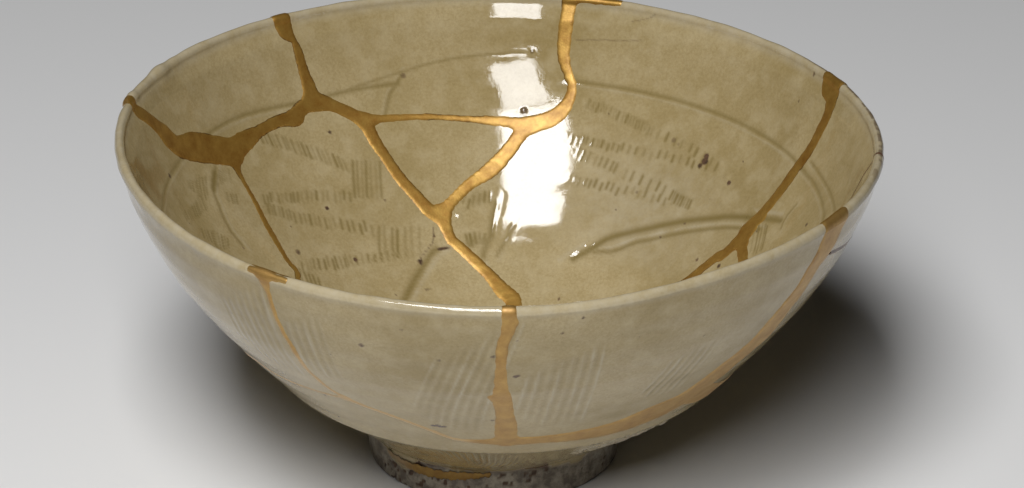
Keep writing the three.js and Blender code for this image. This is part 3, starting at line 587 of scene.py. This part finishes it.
def thrown_waves(azimuth, climb):
    """Slow unevenness in mm that throwing and drying leave in a wall: a few crossed waves."""
    turn, up = np.radians(azimuth), wall_length(climb)
    waves = 0.10 * np.sin(0.55 * up + 2 * turn) + 0.06 * np.sin(1.15 * up - 3 * turn + 1)
    waves += 0.07 * np.sin(5 * turn + 0.13 * up) + 0.05 * np.sin(11 * turn - 0.3 * up + 2)
    return waves


def lip_lumps(azimuth, climb):
    """Unevenness of the lip in mm: low waves all round, and bells where drops of glaze stand on it."""
    turn = np.radians(azimuth)
    low = 0.04 * np.sin(23 * turn + 1) + 0.035 * np.sin(37 * turn) + 0.03 * np.sin(61 * turn + 2)
    drops = sum(tall * bell(azimuth - at, half) for at, half, tall in RIM_LUMPS)
    return smooth(climb, 0.9, 0.97) * low + smooth(climb, 0.93, 0.985) * drops


def wall_unevenness(azimuth, climb):
    """Slow unevenness of the outer and the inner face in mm: thrown waves, weaker inside and faded at the
    ledge and the lip, the lumps of the lip, its taper outside and the slope by which it turns out inside,
    and the bend into the well, half a bell above the ledge."""
    waves = thrown_waves(azimuth, climb) * between(climb, -0.05, 0.05, 0.95, 0.99)
    lumps = lip_lumps(azimuth, climb)
    up = wall_length(climb)
    flare = FLARE_SLOPE * np.maximum(up - wall_length(FLARE_FROM), 0) * (1 - smooth(climb, 0.97, 1))
    taper = LIP_TAPER * between(climb, 0.86, 0.97, LIP_START, 1)
    above_ledge = np.maximum(up - wall_length(0), 0)
    bend = WELL_BEND * bell(above_ledge + WELL_BEND_BELOW, WELL_BEND_HALF)
    return 0.4 * waves + lumps - taper, 0.1 * waves + lumps - flare + bend


def bruise_edge(azimuth, climb):
    """Millimetres outside the edge of the bruise at the top of the foot; far from it simply far."""
    edge = np.full(azimuth.shape, 9.0)
    near, outside_it, _, _ = near_run(FOOT_BRUISE, azimuth, climb, 4)
    ragged = 0.12 * np.sin(1.1 * azimuth[near]) + 0.08 * np.sin(2.7 * azimuth[near] + 90 * climb[near])
    edge[near] = outside_it + ragged
    return edge


def wall_finish(azimuth, climb):
    """Relief of both faces in mm, and what the glaze does over it: for each face the pooled share, the thin
    share (inside also a pale haze painted as a dim reflection), the bare share and the strength of dark
    marks: iron, pits and, outside, a darker band round the rim on the right. Grain decides where the glaze
    ends above the foot, where it has flaked, where the bare clay is pitted and where it is scorched."""
    turn = np.radians(azimuth)
    place = wall_points(azimuth, climb, 0, 0)[OUTSIDE]
    coarse, fine = grain(place, COARSE_GRAIN, 3), grain(place, FINE_GRAIN, 4)
    cut, in_cuts = cut_relief(azimuth, climb)
    strokes = comb_strokes(azimuth, climb)
    grooves, ridges = comb_fans(azimuth, climb)
    outer_slow, inner_slow = wall_unevenness(azimuth, climb)
    fluted = FLUTED_ELSEWHERE + (1 - FLUTED_ELSEWHERE) * bell(azimuth - FLUTED_AT, FLUTED_HALF)
    fluted = fluted * between(climb, *FLUTED_CLIMBS)
    flutes = fluted * (0.5 + 0.5 * np.cos(FLUTES_PER_TURN * turn - FLUTE_SLANT * climb))
    flaked = between(azimuth, *FLAKED_AZIMUTHS) * between(climb, *FLAKED_CLIMBS)
    flaked = flaked * smooth(coarse + 0.5 * fine, -0.25, 0.15)
    flecks = flaked * smooth(fine, 0.05, 0.35)
    runs_down = sum(far * bell(azimuth - at, half) for at, half, far in GLAZE_RUNS)
    wavering = 0.012 * np.sin(9 * turn) + 0.01 * np.sin(31 * turn + 1) + 0.012 * coarse
    glaze_foot = GLAZE_FOOT - runs_down + wavering
    bare = 1 - smooth(climb, glaze_foot, glaze_foot + 0.02)
    pitting = 0.35 + 0.6 * smooth(azimuth, -12, 10) + 0.6 * smooth(-azimuth, 60, 80)
    pits = bare * (climb > -1.4) * smooth(coarse + 0.9 * fine, pitting, pitting + 0.55)
    blisters = soft_discs([(*spot, BLISTER_RADIUS, 1) for spot in BLISTERS], azimuth, climb)
    hollow = BRUISE_DEPTH * (1 - smooth(bruise_edge(azimuth, climb), -0.3, 0.1))
    inner_relief = inner_slow - cut - STROKE_DEPTH * strokes + BLISTER_HEIGHT * blisters
    outer_relief = outer_slow - TOOTH_DEPTH * (grooves - ridges) - FLUTE_DEPTH * flutes - hollow
    outer_relief = outer_relief - PIT_DEPTH * pits + FLAKE_RELIEF * flaked * (coarse + fine)
    lip = smooth(climb, 0.945, 0.99)
    # A pale haze painted inside, standing in for a dim broad reflection beside the streak of the soft box.
    painted_haze = bell(azimuth - PAINTED_HAZE_AT[0], PAINTED_HAZE_HALF[0]) * bell(climb - PAINTED_HAZE_AT[1], PAINTED_HAZE_HALF[1])
    scorched = np.where(climb < GLAZE_FOOT, smooth(coarse + fine, -0.3, 0.2), 1)
    # A darker brown band, in patches, round the outside of the rim on the right side, put in with the dark
    # marks.
    brown_edge = between(azimuth, *BROWN_EDGE_AZIMUTHS) * smooth(climb, *BROWN_EDGE_CLIMBS)
    brown_edge = 0.5 * brown_edge * smooth(coarse + fine, -0.7, 0.1)
    outside = [0.4 * grooves + 0.4 * flutes, lip + 1.4 * ridges + flaked + fluted - flutes,
               bare + 0.8 * flecks, scorched * iron_marks(azimuth, climb, OUTSIDE) + pits + brown_edge]
    inside = [strokes + in_cuts + soft_discs(OLIVE_POOLS, azimuth, climb),
              lip + np.clip(-9 * cut, 0, 0.6) + 0.7 * painted_haze, 0 * climb, iron_marks(azimuth, climb, INSIDE)]
    return outer_relief, inner_relief, np.clip(outside, 0, 1), np.clip(inside, 0, 1)


def cell_middles(azimuths, climbs):
    """Azimuths and climbs half way across the cells; the last column's cells reach round to the first."""
    onward = np.append(azimuths[1:], azimuths[0] + 360)
    return (azimuths + onward) / 2, (climbs[1:] + climbs[:-1]) / 2


def spread_sherds(whole, azimuth, climb):
    """The sherd that owns each cell of the wall: each sherd's number spreads from its own point to the four
    cells beside it, again and again, and stops at the breaks."""
    owner = np.zeros(whole.shape, int)
    for number, (at, height) in enumerate(SHERDS.values(), 1):
        column = np.argmin(np.abs(azimuth - at))
        row = np.argmin(np.abs(climb - height))
        owner[row, column] = number
    while True:
        grown = owner.copy()
        for shift, axis in ((1, 1), (-1, 1), (1, 0), (-1, 0)):
            beside_it = np.roll(grown, shift, axis)
            if axis == 0:
                beside_it[0 if shift == 1 else -1] = 0
            grown = np.where((grown == 0) & whole, beside_it, grown)
        if (grown == owner).all():
            return owner
        owner = grown


def settled(edge, azimuth, climb, move):
    """Points beside a broken edge slid square to it until they lie on it: each time they go back along the
    slope of the edge's distance, measured over a small step, and no further than a third of a mm or so."""
    a, c = azimuth.copy(), climb.copy()
    step = 0.02
    for _ in range(3):
        here_a, here_c = a[move], c[move]
        radius = np.maximum(middle_radius(here_c), 1)
        per_climb = np.maximum((wall_length(here_c + 0.002) - wall_length(here_c - 0.002)) / 0.004, 1)
        here = edge(here_a, here_c)
        slope_x = (edge(here_a + np.degrees(step / radius), here_c) - here) / step
        slope_y = (edge(here_a, here_c + step / per_climb) - here) / step
        back = np.clip(here / np.maximum(slope_x**2 + slope_y**2, 0.3), -0.35, 0.35)
        a[move] = here_a - np.degrees(back * slope_x / radius)
        c[move] = np.minimum(here_c - back * slope_y / per_climb, np.where(here_c >= 1, 1, LIP_START))
    return a, np.where(climb >= LIP_START, climb, c)


def cell_corners(cells):
    """True for each point that is a corner of at least one of the cells; the columns run round."""
    corners = np.zeros((cells.shape[0] + 1, cells.shape[1]), bool)
    for down in (0, 1):
        for side in (0, 1):
            corners[down:cells.shape[0] + down] |= np.roll(cells, side, 1)
    return corners


def wall_mesh(name, cells, outer, inner, values, joined=False):
    """A closed mesh of chosen cells of the wall: their outer faces, their inner faces turned about, and
    walls through from one to the other wherever the next cell isn't chosen. Both faces share the points
    where they meet, points on the axis are one, and joined points give way to the next in their row.
    values are named pairs of outer and inner arrays."""
    rows, columns = outer.shape[:2]
    spot = np.arange(rows * columns).reshape(rows, columns)
    spot = np.where(joined, np.roll(spot, -1, 1), spot)
    if np.ptp(outer[0], axis=0).max() < 1e-6:
        spot[0] = 0
    far = np.where(np.abs(outer - inner).max(-1) < 1e-4, spot, spot + rows * columns)
    i, j = np.nonzero(cells)
    k = (j + 1) % columns
    faces = [np.stack([spot[i, j], spot[i, k], spot[i + 1, k], spot[i + 1, j]], -1)]
    faces.append(np.stack([far[i, j], far[i + 1, j], far[i + 1, k], far[i, k]], -1))
    padded = np.vstack([np.zeros((1, columns), bool), cells, np.zeros((1, columns), bool)])
    for shift, first, last in (((1, 0), (0, 0), (0, 1)), ((-1, 0), (1, 1), (1, 0)),
                               ((0, 1), (1, 0), (0, 0)), ((0, -1), (0, 1), (1, 1))):
        beyond = np.roll(padded, shift, (0, 1))[1:-1]
        r, c = np.nonzero(cells & ~beyond)
        a = (r + first[0], (c + first[1]) % columns)
        b = (r + last[0], (c + last[1]) % columns)
        faces.append(np.stack([spot[b], spot[a], far[a], far[b]], -1))
    used, quads = np.unique(np.vstack(faces), return_inverse=True)
    quads = quads.reshape(-1, 4)
    points = np.concatenate([outer.reshape(-1, 3), inner.reshape(-1, 3)])[used] * MM
    doubled = quads == np.roll(quads, 1, 1)
    repeats = doubled.sum(1)
    triangles = quads[repeats == 1][~doubled[repeats == 1]].reshape(-1, 3)
    mesh = bpy.data.meshes.new(name)
    mesh.from_pydata(points, [], [*quads[repeats == 0].tolist(), *triangles.tolist()])
    mesh.shade_smooth()
    mesh.set_sharp_from_angle(angle=np.radians(48))
    for label, pair in values.items():
        both = np.concatenate([pair[0].ravel(), pair[1].ravel()])[used]
        mesh.attributes.new(label, "FLOAT", "POINT").data.foreach_set("value", both.astype(np.float32))
    piece = bpy.data.objects.new(name, mesh)
    bpy.context.scene.collection.objects.link(piece)
    return piece


class Finish:
    """A material in the making: textures laid in the object's own coordinates are carried from range to
    range, multiplied and mixed, and led to its shader."""

    def __init__(self, name):
        self.material = bpy.data.materials.new(name)
        self.material.use_nodes = True
        self.place = self.node("ShaderNodeTexCoord", {}).outputs["Object"]

    def lead(self, sources, sockets):
        """Sockets, by name or number, each fed by an output or set to a plain number or colour."""
        for key, source in sources.items():
            if isinstance(source, bpy.types.NodeSocket):
                self.material.node_tree.links.new(source, sockets[key])
            else:
                sockets[key].default_value = (*source, 1) if isinstance(source, tuple) else source

    def node(self, kind, sources, **properties):
        """A new node, with its properties set and its sockets led."""
        made = self.material.node_tree.nodes.new(kind)
        for key, value in properties.items():
            setattr(made, key, value)
        self.lead(sources, made.inputs)
        return made

    def attribute(self, name):
        """A value that the mesh carries at each of its points."""
        return self.node("ShaderNodeAttribute", {}, attribute_name=name).outputs["Fac"]

    def noise(self, scale, detail, rough=0.55):
        """Cloudy noise from 0 to 1, at a scale per metre."""
        sources = {"Vector": self.place, "Scale": scale, "Detail": detail, "Roughness": rough}
        return self.node("ShaderNodeTexNoise", sources).outputs["Fac"]

    def crackle(self, scale):
        """Distance from the edges of chance cells."""
        sources = {"Vector": self.place, "Scale": scale}
        return self.node("ShaderNodeTexVoronoi", sources, feature="DISTANCE_TO_EDGE").outputs["Distance"]

    def ranged(self, value, low, high, to_low=0.0, to_high=1.0):
        """A value carried in a straight line from one range to another, and held at its ends."""
        sources = {"Value": value, "From Min": low, "From Max": high, "To Min": to_low, "To Max": to_high}
        return self.node("ShaderNodeMapRange", sources).outputs["Result"]

    def times(self, first, second):
        """The product of two values."""
        return self.node("ShaderNodeMath", {0: first, 1: second}, operation="MULTIPLY").outputs[0]

    def mixed(self, share, first, second):
        """The first colour with a share of the second in its place."""
        return self.node("ShaderNodeMix", {0: share, 6: first, 7: second}, data_type="RGBA").outputs[2]

    def bumped(self, height, distance, strength, **under):
        """Normals tipped by a height of so many metres, over other normals if there are any."""
        sources = {"Height": height, "Distance": distance, "Strength": strength, **under}
        return self.node("ShaderNodeBump", sources).outputs["Normal"]

    def finished(self, sources):
        """The material, with its shader's sockets led."""
        self.lead(sources, self.material.node_tree.nodes["Principled BSDF"].inputs)
        return self.material


def glaze_material():
    """Clear olive glaze on stoneware: mottled body colour, darker where it pools in the combing, paler
    where it runs thin on the lip and in a pale haze painted inside as a dim reflection, a fine crackle,
    iron spots and other dark marks, and bare scorched clay on the foot."""
    glaze = Finish("olive_glaze")
    pool, thin_and_painted_haze, bare, iron = (glaze.attribute(name) for name in ("pool", "thin_and_painted_haze", "bare", "iron"))
    cloud = glaze.ranged(glaze.noise(38, 4), 0.3, 0.7)
    colour = glaze.mixed(cloud, (0.305, 0.232, 0.102), (0.425, 0.340, 0.185))
    speckle = glaze.ranged(glaze.noise(1500, 3, 0.7), 0.35, 0.75)
    colour = glaze.mixed(glaze.times(speckle, 0.5), colour, (0.22, 0.158, 0.062))
    milk = glaze.ranged(glaze.noise(210, 4, 0.6), 0.45, 0.75)
    colour = glaze.mixed(glaze.times(milk, 0.42), colour, (0.49, 0.41, 0.255))
    lines = glaze.times(glaze.ranged(glaze.crackle(620), 0.0, 0.06, 1.0, 0.0), cloud)
    colour = glaze.mixed(glaze.times(lines, 0.14), colour, (0.20, 0.14, 0.05))
    patchy = glaze.ranged(glaze.noise(330, 5, 0.65), 0.3, 0.65, 0.25, 0.75)
    # Paler where the glaze runs thin, and where a pale haze is painted inside as a dim reflection.
    colour = glaze.mixed(glaze.times(thin_and_painted_haze, patchy), colour, (0.45, 0.395, 0.285))
    colour = glaze.mixed(glaze.times(pool, 0.85), colour, (0.17, 0.122, 0.036))
    clay_cloud = glaze.ranged(glaze.noise(340, 6, 0.7), 0.4, 0.62)
    colour = glaze.mixed(bare, colour, glaze.mixed(clay_cloud, (0.16, 0.13, 0.1), (0.37, 0.325, 0.25)))
    rust = glaze.ranged(glaze.noise(900, 2), 0.3, 0.7)
    rusty = glaze.mixed(rust, (0.055, 0.036, 0.024), (0.135, 0.078, 0.046))
    colour = glaze.mixed(glaze.ranged(iron, 0.15, 0.7), colour, rusty)
    gloss = glaze.ranged(glaze.noise(420, 3), 0.35, 0.7, 0.04, 0.09)
    rough = glaze.node("ShaderNodeMix", {0: bare, 2: gloss, 3: 0.85}, data_type="FLOAT").outputs[0]
    peel = glaze.bumped(glaze.noise(480, 4, 0.6), 0.0003, 0.07)
    pitted = glaze.bumped(glaze.noise(700, 6, 0.7), 0.0006, glaze.times(bare, 0.9), Normal=peel)
    return glaze.finished({"Base Color": colour, "Roughness": rough, "Normal": pitted})


azimuths, climbs = column_azimuths(COLUMNS), row_climbs(1)
grid_azimuth, grid_climb = np.meshgrid(azimuths, climbs)
middle_azimuths, middle_climbs = cell_middles(azimuths, climbs)
middle_azimuth, middle_climb = np.meshgrid(middle_azimuths, middle_climbs)
pair_middle = np.repeat(azimuths[1::2], 2)  # below the ledge, out of sight, two columns go together
paired = (climbs[:-1, None] < COARSE_BELOW) & (np.abs(pair_middle) > COARSE_PAST)
joined = np.zeros(grid_azimuth.shape, bool)
joined[:-1, 1::2] = paired[:, 1::2]
whole = sherd_edge(np.where(paired, pair_middle, middle_azimuth), middle_climb) > 0
owner = spread_sherds(whole, middle_azimuths, middle_climbs)
kept = owner > 0
broken = cell_corners(kept) & cell_corners(~kept)
sherd_azimuth, sherd_climb = settled(sherd_edge, grid_azimuth, grid_climb, broken)
outer_relief, inner_relief, outside, inside = wall_finish(sherd_azimuth, sherd_climb)
sherd_outer, sherd_inner = wall_points(sherd_azimuth, sherd_climb, outer_relief, inner_relief)
finish_values = dict(zip(("pool", "thin_and_painted_haze", "bare", "iron"), zip(outside, inside)))
glaze = glaze_material()
for number, name in enumerate(SHERDS, 1):
    sherd = wall_mesh(name + "_glazed", owner == number, sherd_outer, sherd_inner, finish_values, joined)
    sherd.data.materials.append(glaze)
    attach(sherd, "root")
    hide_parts(name)


# The gold seams: lacquer pressed right through the breaks, raised a little on both faces, webbed where
# the breaks meet, carried over the lip, and dusted with gold powder while it was still tacky.
GOLD_RISE, GOLD_SHOULDER, GOLD_OVER_EDGE = 0.18, 0.42, 0.12
GOLD_COLUMNS, GOLD_FINENESS = 1500, 1.6
WORN_AZIMUTHS, WORN_ELSEWHERE = (-62, -55, -9, -4), 0.22
# Share of the dark edge on each face: lacquer left bare, and painted shade where the raised gold meets the
# glaze.
LACQUER_AND_SHADE_OUTSIDE, LACQUER_AND_SHADE_INSIDE = 0.25, 0.85


def gold_material():
    """Gold powder on brown lacquer: satin metal, a fine grain, browner clouds where the powder is thin,
    dull tan where it has worn away, and dark along the edges: lacquer left bare there, and painted shade
    at the foot of the raised gold."""
    gold = Finish("gold_on_lacquer")
    cloud = gold.noise(260, 7, 0.7)
    powder = gold.mixed(gold.ranged(cloud, 0.3, 0.7), (0.285, 0.134, 0.017), (0.49, 0.298, 0.064))
    dulled = gold.mixed(gold.attribute("worn"), powder, (0.5, 0.35, 0.175))
    return gold.finished({
        "Base Color": gold.mixed(gold.attribute("border"), dulled, (0.05, 0.026, 0.01)),
        "Metallic": 0.72,
        "Roughness": gold.ranged(cloud, 0.3, 0.7, 0.58, 0.46),
        "Coat Weight": 0.3,
        "Coat Roughness": 0.34,
        "Normal": gold.bumped(gold.noise(2600, 2, 0.5), 0.0002, 0.15),
    })


def raised(edge, azimuth, climb):
    """Height of the lacquer over the glaze: steep at its edge and level on top, with slow lumps."""
    across, up = np.radians(azimuth) * middle_radius(climb), wall_length(climb)
    lumps = 0.02 * np.sin(0.8 * across + 0.5 * up) * np.sin(0.6 * up - 0.3 * across)
    return (GOLD_RISE + lumps) * np.tanh(-edge / GOLD_SHOULDER)


fine_azimuths, fine_climbs = column_azimuths(GOLD_COLUMNS), row_climbs(GOLD_FINENESS)
fine_azimuth, fine_climb = np.meshgrid(fine_azimuths, fine_climbs)
gilded = gold_edge(*np.meshgrid(*cell_middles(fine_azimuths, fine_climbs))) < GOLD_OVER_EDGE
on_gold = cell_corners(gilded)
gold_border = on_gold & cell_corners(~gilded)
gold_azimuth, gold_climb = settled(
    lambda a, c: gold_edge(a, c) - GOLD_OVER_EDGE, fine_azimuth, fine_climb, gold_border)
gold_distance = np.zeros(gold_azimuth.shape)
gold_distance[on_gold] = gold_edge(gold_azimuth[on_gold], gold_climb[on_gold])
gold_height = raised(gold_distance, gold_azimuth, gold_climb)
outer_slow, inner_slow = wall_unevenness(gold_azimuth, gold_climb)
gold_outer, gold_inner = wall_points(
    gold_azimuth, gold_climb, gold_height + outer_slow, gold_height + inner_slow)
lacquer_and_shade = np.zeros(gold_azimuth.shape)
# The dark edge of the gold, in patches: lacquer left bare, and painted shade where its raised edge stands on
# the glaze.
lacquer_and_shade[on_gold] = smooth(gold_distance[on_gold], -0.2, -0.03)
lacquer_and_shade[on_gold] *= smooth(grain(gold_outer[on_gold], 7, 8), -0.1, 0.35)
worn_away = between(gold_azimuth, *WORN_AZIMUTHS) * (1 - smooth(gold_climb, 0.5, 0.65))
worn_away = WORN_ELSEWHERE + (1 - WORN_ELSEWHERE) * worn_away
gold_values = {"border": (LACQUER_AND_SHADE_OUTSIDE * lacquer_and_shade, LACQUER_AND_SHADE_INSIDE * lacquer_and_shade),
               "worn": (worn_away, 0 * worn_away)}
gold_seams = wall_mesh("gold_seams_gilded", gilded, gold_outer, gold_inner, gold_values)
gold = gold_material()
gold_seams.data.materials.append(gold)
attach(gold_seams, "root")
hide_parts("gold_seams")


# The gold foot fill: the same gilded lacquer, pressed into the bruise at the top of the foot ring and
# smoothed level with the clay round it.
FILL_RISE = 0.12
FILL_ROWS, FILL_COLUMNS = 48, 200
FILL_AZIMUTHS, FILL_CLIMBS = (-58, 4), (-1.14, -0.98)

fill_azimuth, fill_climb = np.meshgrid(
    np.linspace(*FILL_AZIMUTHS, FILL_COLUMNS), np.linspace(*FILL_CLIMBS, FILL_ROWS))
filled = np.zeros((FILL_ROWS - 1, FILL_COLUMNS), bool)
filled[:, :-1] = bruise_edge(
    (fill_azimuth[1:, 1:] + fill_azimuth[1:, :-1]) / 2, (fill_climb[1:, 1:] + fill_climb[:-1, 1:]) / 2) < 0
fill_border = cell_corners(filled) & cell_corners(~filled)
fill_azimuth, fill_climb = settled(bruise_edge, fill_azimuth, fill_climb, fill_border)
fill_edge = np.minimum(bruise_edge(fill_azimuth, fill_climb), 0)
fill_top = FILL_RISE * np.tanh(-fill_edge / GOLD_SHOULDER)
fill_bed = -0.02 - (BRUISE_DEPTH - 0.08) * (1 - smooth(fill_edge, -0.5, 0))
fill_outer = wall_points(fill_azimuth, fill_climb, fill_top, fill_top)[OUTSIDE]
fill_inner = wall_points(fill_azimuth, fill_climb, fill_bed, fill_bed)[OUTSIDE]
fill_dark = 0.3 + 0.7 * smooth(fill_edge, -0.25, 0) * smooth(grain(fill_outer, 4, 9), -0.2, 0.4)
fill_worn = 1 - smooth(fill_azimuth, -46, -36)
fill_values = {"border": (fill_dark, fill_dark), "worn": (fill_worn, fill_worn)}
foot_fill = wall_mesh("gold_foot_fill_gilded", filled, fill_outer, fill_inner, fill_values)
foot_fill.data.materials.append(gold)
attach(foot_fill, "root")
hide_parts("gold_foot_fill")


# The brown lacquer line: the bare lacquer that holds the rim chip, drawn thin through the wall from the
# wide gold seam round under the chip and over the lip, and never gilded.
LACQUER_HALF_WIDTH, LACQUER_RISE = 0.55, 0.05
LACQUER_COLUMNS, LACQUER_STEPS = 7, 30


def lacquer_material():
    """Brown lacquer rubbed down to a dull shine, a little redder in patches."""
    lacquer = Finish("brown_lacquer")
    brown = lacquer.mixed(lacquer.noise(420, 4, 0.5), (0.055, 0.028, 0.016), (0.15, 0.07, 0.035))
    return lacquer.finished({"Base Color": brown, "Roughness": 0.38})


path = rounded_run(CHIP_LINE, LACQUER_STEPS)[::-1]
at_rim = np.interp(1, path[-LACQUER_STEPS:, 1], path[-LACQUER_STEPS:, 0])
path = np.vstack([path[path[:, 1] < 0.999], [(at_rim, 1)]])
path_radius, path_length = middle_radius(path[:, 1]), wall_length(path[:, 1])
onward = np.stack([np.radians(np.gradient(path[:, 0])) * path_radius, np.gradient(path_length)], -1)
onward = onward / np.linalg.norm(onward, axis=1, keepdims=True)
across = np.append(np.linspace(-1, 1, LACQUER_COLUMNS), 1) * LACQUER_HALF_WIDTH
lacquer_azimuth = path[:, :1] + np.degrees(across * onward[:, 1:] / path_radius[:, None])
lacquer_climb = np.interp(path_length[:, None] - across * onward[:, :1], length_table, climb_table)
lacquer_climb = np.minimum(lacquer_climb, 0.999)
lacquer_climb[-1] = 1
lacquered = np.zeros((len(path) - 1, len(across)), bool)
lacquered[:, :-1] = (gold_edge(lacquer_azimuth, lacquer_climb) > GOLD_OVER_EDGE)[:-1].all(1)[:, None]
lacquer_rise = LACQUER_RISE * (1 - (across / LACQUER_HALF_WIDTH) ** 2)
outer_slow, inner_slow = wall_unevenness(lacquer_azimuth, lacquer_climb)
lacquer_outer, lacquer_inner = wall_points(
    lacquer_azimuth, lacquer_climb, outer_slow + lacquer_rise, inner_slow + lacquer_rise)
lacquer_line = wall_mesh("brown_lacquer_line_rubbed", lacquered, lacquer_outer, lacquer_inner, {})
lacquer_line.data.materials.append(lacquer_material())
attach(lacquer_line, "root")
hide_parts("brown_lacquer_line")


# The floor and the light: a flat pale floor, two soft boxes one over the other in front and to the left,
# whose reflection stands on the back of the inside, and a dark room round them.
FLOOR_HALF = 4.0
LIGHT_AIM = Vector((0, 0, 0.05))


def floor_material():
    """Matt pale paper, the same all over."""
    material = bpy.data.materials.new("pale_paper")
    material.use_nodes = True
    shader = material.node_tree.nodes["Principled BSDF"]
    shader.inputs["Base Color"].default_value = (0.77, 0.77, 0.77, 1)
    shader.inputs["Roughness"].default_value = 0.9
    return material


floor_mesh = bpy.data.meshes.new("floor")
floor_corners = [(FLOOR_HALF * x, FLOOR_HALF * y, 0) for x, y in ((-1, -1), (1, -1), (1, 1), (-1, 1))]
floor_mesh.from_pydata(floor_corners, [], [(0, 1, 2, 3)])
floor = bpy.data.objects.new("floor", floor_mesh)
bpy.context.scene.collection.objects.link(floor)
floor_mesh.materials.append(floor_material())


def soft_light(name, azimuth, elevation, distance, width, height, power, lean):
    """A soft box seen from the bowl at an azimuth and elevation, turned to face it and leaned over."""
    light = bpy.data.lights.new(name, "AREA")
    light.shape, light.size, light.size_y, light.energy = "RECTANGLE", width, height, power
    lamp = bpy.data.objects.new(name, light)
    bpy.context.scene.collection.objects.link(lamp)
    turn, tilt = np.radians(azimuth), np.radians(elevation)
    away = Vector((np.sin(turn) * np.cos(tilt), -np.cos(turn) * np.cos(tilt), np.sin(tilt)))
    lamp.location = LIGHT_AIM + away * distance
    lamp.rotation_mode = "QUATERNION"
    lamp.rotation_quaternion = away.to_track_quat("Z", "Y") @ Quaternion((0, 0, 1), np.radians(lean))


soft_light("lower_soft_box", azimuth=-7, elevation=41.9, distance=1.05, width=0.26, height=0.345,
           power=4.4, lean=19)
soft_light("upper_soft_box", azimuth=-18.5, elevation=59.2, distance=1.05, width=0.36, height=0.33,
           power=8.0, lean=25)
world = bpy.data.worlds.new("studio")
world.use_nodes = True
world.node_tree.nodes["Background"].inputs["Color"].default_value = (0.95, 0.97, 1.0, 1)
world.node_tree.nodes["Background"].inputs["Strength"].default_value = 0.006
bpy.context.scene.world = world
bpy.context.scene.view_settings.view_transform = "Standard"

# The camera: a long lens a metre off, looking down at the bowl as the photograph does.
CAMERA_TILT = np.radians(25.5655)
CAMERA_AIM = Vector((0.00304, 0, 0.04917))
CAMERA_DISTANCE = 1.0
FOCAL_PIXELS, IMAGE_WIDTH, SENSOR = 4617.15, 1024, 36
camera_data = bpy.data.cameras.new("camera")
camera_data.sensor_width = SENSOR
camera_data.lens = FOCAL_PIXELS * SENSOR / IMAGE_WIDTH
camera = bpy.data.objects.new("camera", camera_data)
bpy.context.scene.collection.objects.link(camera)
camera_back = Vector((0, -np.cos(CAMERA_TILT), np.sin(CAMERA_TILT)))
camera.location = CAMERA_AIM + camera_back * CAMERA_DISTANCE
camera.rotation_mode = "QUATERNION"
camera.rotation_quaternion = camera_back.to_track_quat("Z", "Y")
bpy.context.scene.camera = camera
